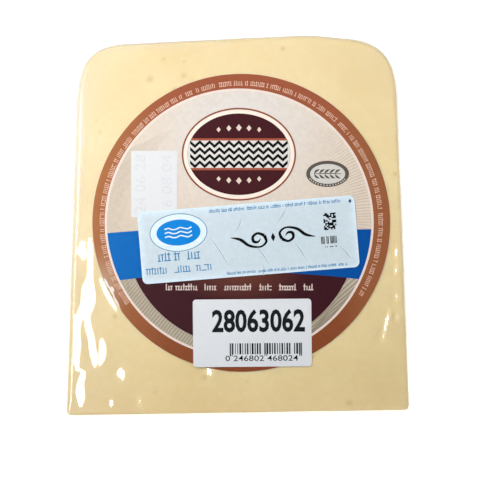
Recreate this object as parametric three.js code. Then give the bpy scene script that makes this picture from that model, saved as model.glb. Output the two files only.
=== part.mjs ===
// A wedge of pale, rindless manchego-style cheese, shrunk into clear vacuum film, with four labels
// stuck on one of its two cut faces.
//
// Frame: millimetres, +Z up. The wedge lies on one cut face, in the plane Z = 0. X runs along the axis
// of the wheel it was cut from, +Y points from the tip to the wheel's rim, and the labelled cut face
// looks up, tilted towards -Y by the wedge's angle. The origin is the middle of the base of the whole.
import * as THREE from "three";

// The wheel and the cut. The wheel is a little thicker at its centre than at its rim.
const WEDGE_ANGLE = THREE.MathUtils.degToRad(22.5); // a sixteenth of a wheel
const TIP_TO_AXIS = 6; // the cuts meet this far short of a feather edge, so the tip is blunt
const TIP_LEFT = -57.6; // the face's width along the tip
const TIP_RIGHT = 57.6;
const TIP_SLANT = 0.0156; // the tip edge rises this much for each millimetre to the right
const RIM_REACH = 125.3; // from the tip to the rim, at the middle
const LEFT_TAPER = 0.034; // how far each side leans inwards for each millimetre towards the rim
const RIGHT_TAPER = 0.0405;

// The rim's outline across the face, as places across it and heights above or below RIM_REACH.
const RIM_CROWN = [
  [-37, -1.5],
  [-13, -0.3],
  [9, 0.7],
  [24, 1.2],
  [34, 0.4],
];
const RIM_FALL = 0.5; // how much further the rim falls away by the point where it would meet a side
const RIM_CORNER = 18.6; // how far down each side the rim's soft corners reach
const CORNER_FULLNESS = 0.71; // how far a corner swells towards its sharp point, from 0 to 1
const TIP_CORNER = 2; // the small corners at the tip
const EDGE_ROUND = 1.7; // the film rounds the edges between the cut faces and the rest
const ROUND_SHARE = 0.48; // of the thickness at most, so that the two rounds at the tip stay apart

// Fineness of the solid.
const STEPS_CORNER = 9;
const STEPS_SIDE = 8;
const STEPS_RIM = 10;
const STEPS_TIP = 12;
const STEPS_ROUND = 4;
const STEPS_THICKNESS = 6;
const CIRCLE_SEGMENTS = 96;

// The labels. The film, each label and the one above it are LAYER_GAP apart.
const LABEL_THICKNESS = 0.2;
const LAYER_GAP = 0.25;
const ROUND_LABEL = { across: 1.1, up: 63.6, diameter: 100.1 };
const PRICE_LABEL = { across: -28.1, up: 76.6, width: 15.6, height: 22.3, corner: 0.4, turn: 0 };
const SEAL_STRIP = { across: 3.5, up: 57.9, width: 73.1, height: 24.2, corner: 1.8, turn: 4.65 };
const BAR_LABEL = { across: 4.8, up: 26.6, width: 39.8, height: 22.7, corner: 1.1, turn: 0.5 };

const film = new THREE.MeshStandardMaterial({ color: "#f1dda6", roughness: 0.15, metalness: 0 });
const brownPrint = new THREE.MeshStandardMaterial({ color: "#a8553a", roughness: 0.3, metalness: 0 });
const icePaper = new THREE.MeshStandardMaterial({ color: "#cfe3f2", roughness: 0.3, metalness: 0 });
const whitePaper = new THREE.MeshStandardMaterial({ color: "#f4f3f4", roughness: 0.5, metalness: 0 });

const point = (x, y) => new THREE.Vector2(x, y);

// A soft corner that leaves one point and arrives at another, swelling towards the sharp corner.
function softCorner(from, sharp, to) {
  const leave = from.clone().lerp(sharp, CORNER_FULLNESS);
  const arrive = to.clone().lerp(sharp, CORNER_FULLNESS);
  return new THREE.CubicBezierCurve(from, leave, arrive, to);
}

// The outline of a cut face, counter-clockwise, with x across the face and y from the tip to the rim.
function faceOutline() {
  const tip = (x) => point(x, TIP_SLANT * x);
  const leftSide = (y) => point(TIP_LEFT + LEFT_TAPER * y, y);
  const rightSide = (y) => point(TIP_RIGHT - RIGHT_TAPER * y, y);
  const rim = RIM_CROWN.map(([x, rise]) => point(x, RIM_REACH + rise));
  const [rimLeft, rimRight] = [rim[0], rim[rim.length - 1]];
  const rimCornerLeft = leftSide(rimLeft.y - RIM_FALL);
  const rimCornerRight = rightSide(rimRight.y - RIM_FALL);
  const [tipCornerLeft, tipCornerRight] = [tip(TIP_LEFT), tip(TIP_RIGHT)];

  const tipLeft = tip(TIP_LEFT + TIP_CORNER);
  const tipRight = tip(TIP_RIGHT - TIP_CORNER);
  const rightLow = rightSide(tipCornerRight.y + TIP_CORNER);
  const rightHigh = rightSide(rimCornerRight.y - RIM_CORNER);
  const leftHigh = leftSide(rimCornerLeft.y - RIM_CORNER);
  const leftLow = leftSide(tipCornerLeft.y + TIP_CORNER);

  const stretches = [
    [new THREE.LineCurve(tipLeft, tipRight), STEPS_TIP],
    [softCorner(tipRight, tipCornerRight, rightLow), STEPS_ROUND],
    [new THREE.LineCurve(rightLow, rightHigh), STEPS_SIDE],
    [softCorner(rightHigh, rimCornerRight, rimRight), STEPS_CORNER],
    [new THREE.SplineCurve([...rim].reverse()), STEPS_RIM],
    [softCorner(rimLeft, rimCornerLeft, leftHigh), STEPS_CORNER],
    [new THREE.LineCurve(leftHigh, leftLow), STEPS_SIDE],
    [softCorner(leftLow, tipCornerLeft, tipLeft), STEPS_ROUND],
  ];
  return stretches.flatMap(([path, steps]) => path.getPoints(steps).slice(0, -1));
}

// The inward direction at each point of a closed counter-clockwise outline.
function inwardDirections(outline) {
  return outline.map((_, i) => {
    const before = outline[(i + outline.length - 1) % outline.length];
    const after = outline[(i + 1) % outline.length];
    const along = after.clone().sub(before).normalize();
    return point(-along.y, along.x);
  });
}

// The wedge: the outline swept round the wheel's axis from one cut face to the other. Each level of
// the sweep is an inset from the outline and a height above the lower cut face, measured along the arc.
function wedgeGeometry() {
  const outline = faceOutline();
  const inward = inwardDirections(outline);
  const levels = [];
  for (let i = 0; i <= STEPS_ROUND; i++) {
    const turn = ((i / STEPS_ROUND) * Math.PI) / 2;
    levels.push({ inset: 1 - Math.sin(turn), low: 1 - Math.cos(turn), share: 0 });
  }
  for (let i = 1; i < STEPS_THICKNESS; i++) {
    levels.push({ inset: 0, low: 1, share: i / STEPS_THICKNESS });
  }
  const mirrored = levels.slice(0, STEPS_ROUND + 1).reverse();
  levels.push(...mirrored.map(({ inset, low }) => ({ inset, low, share: 1 })));

  const positions = [];
  for (const { inset, low, share } of levels) {
    outline.forEach((corner, i) => {
      const thickness = (TIP_TO_AXIS + corner.y) * WEDGE_ANGLE;
      const round = Math.min(EDGE_ROUND, ROUND_SHARE * thickness);
      const place = corner.clone().addScaledVector(inward[i], inset * round);
      const radius = TIP_TO_AXIS + place.y;
      const lowest = (low * round) / radius;
      const angle = THREE.MathUtils.lerp(lowest, WEDGE_ANGLE - lowest, share);
      positions.push(place.x, radius * Math.cos(angle), radius * Math.sin(angle));
    });
  }

  const around = outline.length;
  const indices = [];
  for (let level = 0; level + 1 < levels.length; level++) {
    for (let i = 0; i < around; i++) {
      const [a, b] = [level * around + i, level * around + ((i + 1) % around)];
      indices.push(a, b, b + around, a, b + around, a + around);
    }
  }
  const firstRing = outline.map((_, i) => point(positions[3 * i], positions[3 * i + 1]));
  const top = (levels.length - 1) * around;
  for (const [a, b, c] of THREE.ShapeUtils.triangulateShape(firstRing, [])) {
    indices.push(a, c, b, top + a, top + b, top + c);
  }
  const geometry = new THREE.BufferGeometry();
  geometry.setAttribute("position", new THREE.Float32BufferAttribute(positions, 3));
  geometry.setIndex(indices);
  geometry.computeVertexNormals();
  return geometry;
}

// A rectangle with rounded corners, centred on the origin.
function roundedRectangle({ width, height, corner }) {
  const [x, y] = [width / 2, height / 2];
  const shape = new THREE.Shape();
  shape.absarc(x - corner, y - corner, corner, 0, Math.PI / 2);
  shape.absarc(corner - x, y - corner, corner, Math.PI / 2, Math.PI);
  shape.absarc(corner - x, corner - y, corner, Math.PI, 1.5 * Math.PI);
  shape.absarc(x - corner, corner - y, corner, 1.5 * Math.PI, 2 * Math.PI);
  shape.closePath();
  return shape;
}

function disc({ diameter }) {
  const shape = new THREE.Shape();
  shape.absarc(0, 0, diameter / 2, 0, 2 * Math.PI);
  shape.closePath();
  return shape;
}

// A label lying on the labelled cut face, as the layer-th thing above the film.
function label(name, shape, place, layer, material, curveSegments) {
  const options = { depth: LABEL_THICKNESS, bevelEnabled: false, curveSegments };
  const mesh = new THREE.Mesh(new THREE.ExtrudeGeometry(shape, options), material);
  mesh.name = name;
  const height = LAYER_GAP + layer * (LABEL_THICKNESS + LAYER_GAP);
  mesh.position.set(place.across, TIP_TO_AXIS + place.up, height);
  mesh.rotation.z = THREE.MathUtils.degToRad(place.turn ?? 0);
  return mesh;
}

const pack = new THREE.Mesh(wedgeGeometry(), film);
pack.name = "vacuum_pack";

// The labelled cut face's own frame: x across, y away from the wheel's axis, z off the face.
const labelledFace = new THREE.Group();
labelledFace.rotation.x = WEDGE_ANGLE;
labelledFace.add(
  label("round_label", disc(ROUND_LABEL), ROUND_LABEL, 0, brownPrint, CIRCLE_SEGMENTS / 2),
  label("price_label", roundedRectangle(PRICE_LABEL), PRICE_LABEL, 1, whitePaper, 3),
  label("bar_label", roundedRectangle(BAR_LABEL), BAR_LABEL, 1, whitePaper, 5),
  label("seal_strip", roundedRectangle(SEAL_STRIP), SEAL_STRIP, 2, icePaper, 5),
);

const wedge = new THREE.Group();
wedge.add(pack, labelledFace);
const box = new THREE.Box3().setFromObject(wedge, true);
const middle = box.getCenter(new THREE.Vector3());
wedge.position.set(-middle.x, -middle.y, -box.min.z);

export default wedge;
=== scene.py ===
# %% [markdown]
# # A wedge of sheep's-milk cheese in clear shrink film
#
# The real thing is a sixteenth of a small pressed wheel, pale and with no rind left on it. It lies on
# one cut face inside clear film that was drawn tight by vacuum, and printed paper labels are stuck on
# the other cut face, which looks up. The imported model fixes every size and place. This lesson gives the
# pieces their finish: the paste, the film with its creases, the papers, and the print on them.

# %% The frame
import math
import random
from collections import namedtuple

import bpy
import numpy as np
from mathutils import Matrix, Vector, noise


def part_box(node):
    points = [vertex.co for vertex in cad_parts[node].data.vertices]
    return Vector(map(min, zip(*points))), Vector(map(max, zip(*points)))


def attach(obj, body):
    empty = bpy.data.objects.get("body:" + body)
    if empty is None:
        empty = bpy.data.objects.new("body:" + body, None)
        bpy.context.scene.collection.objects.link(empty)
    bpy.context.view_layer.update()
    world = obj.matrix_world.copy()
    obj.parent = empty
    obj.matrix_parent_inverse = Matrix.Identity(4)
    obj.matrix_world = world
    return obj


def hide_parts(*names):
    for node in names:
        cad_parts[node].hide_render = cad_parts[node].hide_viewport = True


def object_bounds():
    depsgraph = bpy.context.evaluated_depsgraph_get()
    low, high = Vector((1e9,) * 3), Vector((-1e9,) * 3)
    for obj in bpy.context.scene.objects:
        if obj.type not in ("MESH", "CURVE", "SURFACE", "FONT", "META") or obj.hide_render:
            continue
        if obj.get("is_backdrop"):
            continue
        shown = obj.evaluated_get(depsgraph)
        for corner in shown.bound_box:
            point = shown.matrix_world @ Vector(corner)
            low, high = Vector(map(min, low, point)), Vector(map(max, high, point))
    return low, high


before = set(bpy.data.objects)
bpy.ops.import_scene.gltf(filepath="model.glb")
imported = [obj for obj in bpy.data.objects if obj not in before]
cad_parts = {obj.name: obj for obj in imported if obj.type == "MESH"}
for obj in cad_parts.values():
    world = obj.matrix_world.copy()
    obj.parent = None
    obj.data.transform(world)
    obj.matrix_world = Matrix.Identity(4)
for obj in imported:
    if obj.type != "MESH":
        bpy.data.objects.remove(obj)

cad_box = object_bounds()
MM = 0.001  # every length below is in millimetres, and becomes metres when a mesh is made

# %% [markdown]
# ## The cut face as a drawing board
#
# All four labels lie on one flat cut face, tilted by the wedge's angle. Places on it are simplest as
# three numbers: how far across, how far up from the tip, and how far off the face. The round label's
# node shows where the face is, so everything else is worked out from its box.

# %% Places on the cut face
WEDGE_ANGLE = math.radians(22.5)  # a sixteenth of a wheel
TIP_TO_AXIS = 6.0  # the blunt tip stops this far from the wheel's axis
ROUND_LABEL = (1.1, 63.6, 0.35)  # the middle of the round label's node: across, up and off
LABEL_CENTRE = ROUND_LABEL[:2]
LABEL_RADIUS = 50.05

ACROSS = Vector((1, 0, 0))
UP = Vector((0, math.cos(WEDGE_ANGLE), math.sin(WEDGE_ANGLE)))
OFF = Vector((0, -math.sin(WEDGE_ANGLE), math.cos(WEDGE_ANGLE)))
FACE_AXES = np.array([ACROSS, UP, OFF])

label_low, label_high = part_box("round_label")
label_middle = np.array((label_low + label_high) / 2)
FACE_TIP = label_middle / MM - np.array(ROUND_LABEL) @ FACE_AXES  # where across, up and off are nought
WHEEL_AXIS = FACE_TIP - TIP_TO_AXIS * np.array(UP)


def on_face(places):
    """Turns face places in millimetres into points in metres."""
    return (FACE_TIP + np.asarray(places, float) @ FACE_AXES) * MM


print("tip of the cut face, mm:", FACE_TIP.round(3), "wheel axis:", WHEEL_AXIS.round(3))

# %% [markdown]
# ## The camera
#
# The photo looks straight down on the labelled face, so the camera stands square to it. A retail photo
# like this is taken from about half a metre, and the lens follows from how much of the face it frames.

# %% Camera
VIEW_DISTANCE = 480.0
FRAME_WIDTH = 161.3  # what the square picture spans at the face
FRAME_MIDDLE = (0.67, 57.8)

eye = bpy.data.cameras.new("photo_view")
eye.type = "PERSP"
eye.sensor_width = 36.0
eye.lens = eye.sensor_width * VIEW_DISTANCE / FRAME_WIDTH
eye.clip_start = 0.01
eye.clip_end = 20.0
camera = bpy.data.objects.new("photo_view", eye)
bpy.context.scene.collection.objects.link(camera)
turn = Matrix((ACROSS, UP, OFF)).transposed().to_4x4()
camera.matrix_world = Matrix.Translation(on_face((*FRAME_MIDDLE, VIEW_DISTANCE))) @ turn
bpy.context.scene.camera = camera
bpy.context.scene.view_settings.view_transform = "Standard"
print("lens, mm:", round(eye.lens, 1))

# %% [markdown]
# ## Colours and nodes
#
# Print and food colours are read off as sRGB hex values, and shaders want linear ones, so one function
# turns them. One more adds a node with its settings and links, in a shader or in Geometry Nodes.

# %% Helpers for colours, nodes and materials
def linear(hex_colour):
    """An sRGB hex colour as linear red, green, blue and alpha."""
    shares = [int(hex_colour[i : i + 2], 16) / 255 for i in (1, 3, 5)]
    return [c / 12.92 if c <= 0.04045 else ((c + 0.055) / 1.055) ** 2.4 for c in shares] + [1.0]


def blend(a, b, share):
    return [x + (y - x) * share for x, y in zip(a, b)]


def add(tree, kind, inputs=(), **settings):
    """Adds a node. Its inputs, in order or by name, are values or the nodes or sockets to link from."""
    made = tree.nodes.new(kind)
    for name, value in settings.items():
        setattr(made, name, value)
    for key, value in inputs.items() if isinstance(inputs, dict) else enumerate(inputs):
        source = value.outputs[0] if isinstance(value, bpy.types.Node) else value
        if isinstance(source, bpy.types.NodeSocket):
            tree.links.new(source, made.inputs[key])
        else:
            made.inputs[key].default_value = source
    return made


def grain_of(millimetres):
    """The scale of a noise texture whose grains are about that wide."""
    return 1 / (millimetres * MM)


def new_material(name):
    """An empty material, with its node tree and its Object coordinates."""
    material = bpy.data.materials.new(name)
    material.use_nodes = True
    tree = material.node_tree
    tree.nodes.clear()
    return material, tree, add(tree, "ShaderNodeTexCoord").outputs["Object"]


# %% [markdown]
# ## Cheese paste
#
# Pressed sheep's-milk paste is a fine, moist, slightly see-through solid. It was cut by wire, which
# leaves a smooth face with small pits, and its butter colour drifts a little from place to place. The
# soft light inside it comes from subsurface scattering. The pits are darkened with painted shade, read
# from an attribute that the mesh carries, so that the painted shade and the dent stay together.

# %% Cheese paste
TONE_DRIFT = 26.3  # millimetres from a paler patch to the next
CURD_GRAIN = 2.38  # pressed curd is finer, and is drawn coarse enough to show


def cheese_paste():
    material, tree, place = new_material("pressed_cheese_paste")
    drift = add(tree, "ShaderNodeTexNoise", {"Vector": place, "Scale": grain_of(TONE_DRIFT), "Detail": 3.0})
    tone = add(tree, "ShaderNodeValToRGB", [drift])
    for element, share, colour in zip(tone.color_ramp.elements, (0.3, 0.7), ("#EBD49A", "#F3DFAA")):
        element.position = share
        element.color = linear(colour)
    grain = add(tree, "ShaderNodeTexNoise", {"Vector": place, "Scale": grain_of(CURD_GRAIN), "Detail": 4.0})
    fleck_range = {"Value": grain, "From Min": 0.35, "From Max": 0.65, "To Min": 0.0, "To Max": 0.16}
    flecks = {0: add(tree, "ShaderNodeMapRange", fleck_range), 6: tone, 7: linear("#DEC284")}
    flecked = add(tree, "ShaderNodeMix", flecks, data_type="RGBA").outputs[2]
    # Painted shade: the paste is darkened towards a deeper yellow in the pits.
    pit_shade_share = add(tree, "ShaderNodeAttribute", attribute_name="painted_pit_shade").outputs["Fac"]
    pit_shaded = add(tree, "ShaderNodeMix", {0: pit_shade_share, 6: flecked, 7: linear("#CDAE69")}, data_type="RGBA")
    paste = {
        "Base Color": pit_shaded.outputs[2],
        "Normal": add(tree, "ShaderNodeBump", {"Height": grain, "Strength": 0.12, "Distance": 0.0003}),
        "Roughness": 0.42,
        "IOR": 1.45,
        "Specular IOR Level": 0.12,
        "Subsurface Weight": 0.2,
        "Subsurface Radius": (1.0, 0.6, 0.25),
        "Subsurface Scale": 0.003,
    }
    add(tree, "ShaderNodeOutputMaterial", [add(tree, "ShaderNodeBsdfPrincipled", paste)])
    return material


# %% [markdown]
# ## Shrink film
#
# The film is a clear multilayer polyolefin, a few hundredths of a millimetre thick. Seen square on it
# is invisible but for a faint haze, and wherever it slopes it mirrors the lamps. It is one surface that
# lets light straight through and adds gloss. The share of gloss rises towards the rim as on any clear
# plastic, from a Layer Weight node, which treats both sides of the surface alike. Two attributes of the
# mesh say how much white is mixed in, which is partly milky film and partly painted sheen of the lamps,
# and how brightly it shines.

# %% Shrink film
FILM_GLOSS = 0.05  # the surfaces of clear layered plastic seen square on
FILM_RISE = 0.9  # how much more it mirrors seen edge on
HAZY_GLOSS = 0.15  # the share of the gloss that is blurred
FILM_RIPPLE = 3.85  # millimetres from ripple to ripple


def shrink_film():
    material, tree, place = new_material("clear_shrink_film")
    ripple = add(tree, "ShaderNodeTexNoise", {"Vector": place, "Scale": grain_of(FILM_RIPPLE), "Detail": 2.0})
    bump = add(tree, "ShaderNodeBump", {"Height": ripple, "Strength": 0.1, "Distance": 0.0004})
    facing = add(tree, "ShaderNodeLayerWeight", {"Blend": 0.5, "Normal": bump}).outputs["Facing"]
    steep = add(tree, "ShaderNodeMath", [facing, 4.0], operation="POWER")
    share = [steep, FILM_RISE, FILM_GLOSS]
    share = add(tree, "ShaderNodeMath", share, operation="MULTIPLY_ADD", use_clamp=True)
    shine = add(tree, "ShaderNodeAttribute", attribute_name="shine").outputs["Fac"]
    share = add(tree, "ShaderNodeMath", [share, shine], operation="MULTIPLY")
    sharp = add(tree, "ShaderNodeBsdfAnisotropic", {"Roughness": 0.06, "Normal": bump})
    blurred = add(tree, "ShaderNodeBsdfAnisotropic", {"Roughness": 0.34, "Normal": bump})
    gloss = add(tree, "ShaderNodeMixShader", [HAZY_GLOSS, sharp, blurred])
    film = add(tree, "ShaderNodeMixShader", [share, add(tree, "ShaderNodeBsdfTransparent"), gloss])
    # The attribute read here mixes white into the film: partly milkiness, partly painted sheen.
    haze_and_sheen = add(tree, "ShaderNodeAttribute", attribute_name="haze_and_sheen").outputs["Fac"]
    milk_and_sheen = add(tree, "ShaderNodeBsdfDiffuse", {"Color": (0.95, 0.95, 0.95, 1)})
    add(tree, "ShaderNodeOutputMaterial", [add(tree, "ShaderNodeMixShader", [haze_and_sheen, film, milk_and_sheen])])
    return material


# %% [markdown]
# ## Papers and inks
#
# The labels are thin coated paper. The paper itself has a faint tooth, and the print on it is a film of
# ink about a hundredth of a millimetre thick, which here is a real thin plate, so that every edge stays
# sharp. A colour attribute called ink carries the colour of each printed shape, so one material prints
# a whole label, with the slight unevenness of a press. Paper and ink differ only in numbers, so one
# function makes both.

# %% Papers and inks
def sheet_finish(name, roughness, grain, detail, unevenness, relief, specular, hex_colour=None):
    """Paper of one colour, or, without a colour, ink that reads its own from the mesh."""
    material, tree, place = new_material(name)
    tooth = add(tree, "ShaderNodeTexNoise", {"Vector": place, "Scale": grain_of(grain), "Detail": detail})
    brightness = {"Value": tooth, "To Min": 1 - unevenness, "To Max": 1 + unevenness}
    colour = linear(hex_colour) if hex_colour else add(tree, "ShaderNodeAttribute", attribute_name="ink")
    shade = {"Color": colour, "Value": add(tree, "ShaderNodeMapRange", brightness)}
    sheet = {
        "Base Color": add(tree, "ShaderNodeHueSaturation", shade),
        "Normal": add(tree, "ShaderNodeBump", {"Height": tooth, "Strength": relief, "Distance": 0.0001}),
        "Roughness": roughness,
        "Specular IOR Level": specular,
    }
    add(tree, "ShaderNodeOutputMaterial", [add(tree, "ShaderNodeBsdfPrincipled", sheet)])
    return material


# The grain in millimetres, its detail, unevenness and relief, and the shine. Real tooth is far finer than
# a millimetre, and is drawn this coarse so that it shows.
PAPER_TOOTH = (1.111, 3.0, 0.03, 0.06, 0.15)
INK_TOOTH = (1.429, 4.0, 0.1, 0.04, 0.05)
CHEESE = cheese_paste()
FILM = shrink_film()
COATED_PAPER = sheet_finish("gloss_coated_paper", 0.35, *PAPER_TOOTH, "#D5CEC8")
THERMAL_PAPER = sheet_finish("white_thermal_paper", 0.45, *PAPER_TOOTH, "#DDE0E4")
PRICE_PAPER = sheet_finish("price_gun_paper", 0.45, *PAPER_TOOTH, "#DCDDDE")
SEAL_PAPER = sheet_finish("ice_blue_seal_paper", 0.35, *PAPER_TOOTH, "#D3E6F1")
PRESS_INK = sheet_finish("gloss_press_ink", 0.42, *INK_TOOTH)
THERMAL_INK = sheet_finish("matt_thermal_ink", 0.6, *INK_TOOTH)
print("finishes:", [material.name for material in bpy.data.materials])

# %% [markdown]
# ## The outline of the cut
#
# The cut face is nearly square: straight along the blunt tip, leaning in a little up both sides, and
# crowned along the rim with two soft corners. The same few sizes as in the model draw it here, only
# with finer steps.

# %% The outline of the cut
TIP_HALF = 57.6
TIP_SLANT = 0.0156
RIM_REACH = 125.3
LEFT_TAPER = 0.034
RIGHT_TAPER = 0.0405
RIM_CROWN = [(-37, -1.5), (-13, -0.3), (9, 0.7), (24, 1.2), (34, 0.4)]
RIM_FALL = 0.5
RIM_CORNER = 18.6
CORNER_FULLNESS = 0.71
TIP_CORNER = 2.0
EDGE_ROUND = 1.7
ROUND_SHARE = 0.48


def straight(a, b, steps):
    return [a + (b - a) * i / steps for i in range(steps)]


def soft_corner(start, sharp, end, steps):
    """A curve between two points that swells towards the sharp corner."""
    leave = start + (sharp - start) * CORNER_FULLNESS
    arrive = end + (sharp - end) * CORNER_FULLNESS
    shares = [i / steps for i in range(steps)]
    return [
        start * (1 - t) ** 3 + leave * 3 * t * (1 - t) ** 2 + arrive * 3 * t * t * (1 - t) + end * t**3
        for t in shares
    ]


def smooth_path(points, steps):
    """A smooth curve through all the points, with so many steps between each two."""
    points = [np.array(p, float) for p in points]
    path = []
    for i in range(len(points) - 1):
        before, a, b, after = (points[min(max(j, 0), len(points) - 1)] for j in range(i - 1, i + 3))
        leave, arrive = (b - before) / 2, (after - a) / 2
        for t in (k / steps for k in range(steps)):
            path.append(
                a * (2 * t**3 - 3 * t**2 + 1)
                + leave * (t**3 - 2 * t**2 + t)
                + b * (3 * t**2 - 2 * t**3)
                + arrive * (t**3 - t**2)
            )
    return path + [points[-1]]


# %% The outline drawn
def cut_outline():
    """The cut face's outline, counter-clockwise, as across and up."""
    tip = lambda x: np.array((x, TIP_SLANT * x))
    left = lambda y: np.array((LEFT_TAPER * y - TIP_HALF, y))
    right = lambda y: np.array((TIP_HALF - RIGHT_TAPER * y, y))
    rim = [np.array((x, RIM_REACH + rise), float) for x, rise in RIM_CROWN]
    left_top, right_top = left(rim[0][1] - RIM_FALL), right(rim[-1][1] - RIM_FALL)
    tip_left, tip_right = tip(-TIP_HALF), tip(TIP_HALF)
    stretches = [
        straight(tip(TIP_CORNER - TIP_HALF), tip(TIP_HALF - TIP_CORNER), 60),
        soft_corner(tip(TIP_HALF - TIP_CORNER), tip_right, right(tip_right[1] + TIP_CORNER), 8),
        straight(right(tip_right[1] + TIP_CORNER), right(right_top[1] - RIM_CORNER), 60),
        soft_corner(right(right_top[1] - RIM_CORNER), right_top, rim[-1], 24),
        smooth_path(rim[::-1], 12)[:-1],
        soft_corner(rim[0], left_top, left(left_top[1] - RIM_CORNER), 24),
        straight(left(left_top[1] - RIM_CORNER), left(tip_left[1] + TIP_CORNER), 60),
        soft_corner(left(tip_left[1] + TIP_CORNER), tip_left, tip(TIP_CORNER - TIP_HALF), 8),
    ]
    return np.array([p for stretch in stretches for p in stretch])


outline = cut_outline()
print("outline, mm:", outline.min(0).round(2), outline.max(0).round(2))

# %% [markdown]
# ## How the film lies
#
# Under vacuum the film follows the paste, so one height map serves the paste and the film. Most of it is a
# slow swell of a few tenths of a millimetre. Down the left margin, and in a few places elsewhere, the film
# was gathered, and there it slopes just so that it flashes: it mirrors a small lamp into the lens. So the
# film is worked out backwards. Each flash says how steep the sheet is there, the labels hold it flat, and
# the rest is a taut sheet that stays as flat as it can, which is what real film does.

# %% Flashes in the film
FLASH_LAMP = (-165.0, 12.0, 250.0)  # where the small lamp stands: across, up and off the face
FLASH_SIZE = (84.0, 250.0)
FLASHES = {  # each is a path of across, up and width
    "long_left": [
        (-49.7, 59.4, 0.0), (-49.7, 57.0, 1.6), (-49.6, 49.1, 2.3), (-49.9, 44.9, 2.8), (-50.2, 41.6, 5.0),
        (-50.3, 37.0, 5.3), (-51.6, 33.6, 5.3), (-53.4, 30.9, 3.4), (-54.2, 27.6, 2.4), (-54.2, 20.8, 2.4),
        (-54.2, 15.8, 1.6), (-54.2, 13.4, 0.0)],
    "left_branch": [
        (-50.2, 33.4, 0.0), (-50.6, 30.9, 2.0), (-49.6, 25.2, 2.5), (-48.6, 19.2, 2.5), (-48.3, 16.5, 1.3),
        (-48.2, 14.6, 0.0)],
    "left_inner": [
        (-45.5, 25.4, 0.0), (-45.6, 23.4, 2.2), (-45.7, 20.2, 2.7), (-46.0, 17.5, 2.0), (-46.2, 15.6, 0.0)],
    "left_upper": [(-52.9, 57.4, 0.0), (-52.8, 55.1, 2.6), (-52.4, 53.0, 3.8), (-52.4, 51.2, 0.0)],
    "left_foot": [
        (-51.9, 14.8, 0.0), (-51.9, 12.1, 1.8), (-53.1, 9.7, 2.0), (-52.8, 6.7, 3.2), (-52.6, 3.7, 2.4),
        (-52.6, 1.6, 0.0)],
    "small_oval": [(-40.1, 14.7, 0.0), (-39.6, 13.5, 3.0), (-39.0, 12.4, 3.8), (-38.6, 11.3, 0.0)],
    "label_edge": [
        (-46.8, 45.6, 0.0), (-45.9, 43.6, 2.2), (-43.9, 39.4, 2.6), (-41.6, 35.6, 2.4), (-39.8, 33.4, 0.0)],
    "low_dot": [(-42.7, 4.2, 0.0), (-42.6, 3.0, 2.0), (-42.6, 1.9, 0.0)],
    "low_line": [(-33.4, 6.2, 0.0), (-33.2, 4.4, 1.4), (-33.2, 2.8, 1.3), (-33.2, 1.6, 0.0)],
    "sticker_foot": [(-10.4, 15.6, 0.0), (-10.0, 14.5, 3.4), (-9.6, 13.3, 3.4), (-9.4, 12.2, 0.0)],
    "right_streak": [
        (50.9, 34.6, 0.0), (50.6, 32.6, 1.6), (49.7, 28.9, 1.7), (48.7, 24.9, 1.4), (48.4, 23.2, 0.0)],
    "right_edge": [
        (53.2, 56.4, 0.0), (53.2, 53.5, 1.9), (53.2, 50.2, 0.0), (53.2, 47.7, 1.8), (53.2, 45.2, 0.0),
        (53.3, 41.2, 0.0), (53.3, 38.8, 1.8), (53.4, 36.4, 0.0), (53.5, 33.6, 0.0), (53.6, 31.8, 1.7),
        (53.6, 30.2, 0.0)],
}
WARP = 0.35  # how far the flashes' own paths wander
WARP_SIZE = 4.5
SWELL_HEIGHT = 0.16
SWELL_SIZE = 42.0


def wander(across, up, size, seed):
    """Smooth noise, about -0.7 to 0.7, whose waves are about that size, at arrays of face places."""
    spots = zip(np.ravel(across) / size, np.ravel(up) / size)
    return np.array([noise.noise(Vector((a, b, seed))) for a, b in spots]).reshape(np.shape(across))


def mirror_slope(across, up):
    """How steeply the film must rise to the right to mirror the small lamp into the lens."""
    place = np.stack([across, up, np.zeros_like(across)], -1)
    halfway = 0
    for far_end in (FLASH_LAMP, (*FRAME_MIDDLE, VIEW_DISTANCE)):
        ray = np.array(far_end) - place
        halfway = halfway + ray / np.linalg.norm(ray, axis=-1, keepdims=True)
    return -halfway[..., 0] / halfway[..., 2]


# %% The taut sheet
GRID_STEP = 0.5
GRID_LOW = (-64.0, -6.0)
GRID_SIZE = (257, 279)
SLACK = 0.03  # how hard the sheet holds itself flat between flashes
SPRING = 0.0005  # how hard the paste pulls it back down
HELD = 0.05  # the same under the round label
HELD_WITHIN = 49.5  # the label holds the sheet down this far from its centre
FLASH_FREE = 49.9  # and no flash comes nearer than this
SOLVER_STEPS = 420


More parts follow.
